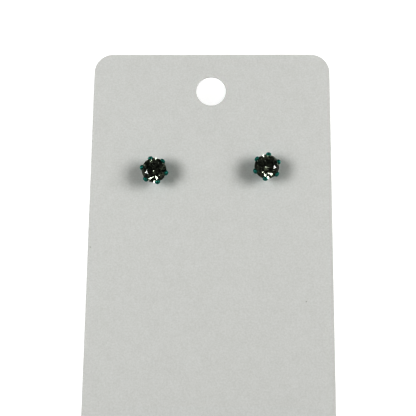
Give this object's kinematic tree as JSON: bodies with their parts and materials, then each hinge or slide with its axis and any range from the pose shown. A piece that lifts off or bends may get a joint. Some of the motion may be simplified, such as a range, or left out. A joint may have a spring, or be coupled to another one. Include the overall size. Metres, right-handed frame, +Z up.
{
  "type": "pair of stud earrings on a display card",
  "caption": "Round crystal stud earrings in teal pronged settings with butterfly backs, pushed through a plain white display card with rounded corners and a hang hole.",
  "frame": {"origin": "on the surface the card lies on, under the middle of the object's footprint", "axes": "+Z up; +Y along the card from its foot edge to the hang hole; +X across the card, to the right as it is read. The card lies face up and is propped 8.5 degrees about X by the posts behind it"},
  "size_m": [0.0508, 0.088, 0.0139],
  "materials": {
    "card_board": "matte",
    "teal_metal": "gloss",
    "smoky_crystal": "polished",
    "clutch_steel": "satin"
  },
  "bodies": {
    "root": {"display_card": "card_board", "left_setting": "teal_metal", "left_stone": "smoky_crystal", "left_clutch": "clutch_steel", "right_setting": "teal_metal", "right_stone": "smoky_crystal", "right_clutch": "clutch_steel"}
  },
  "joints": []
}
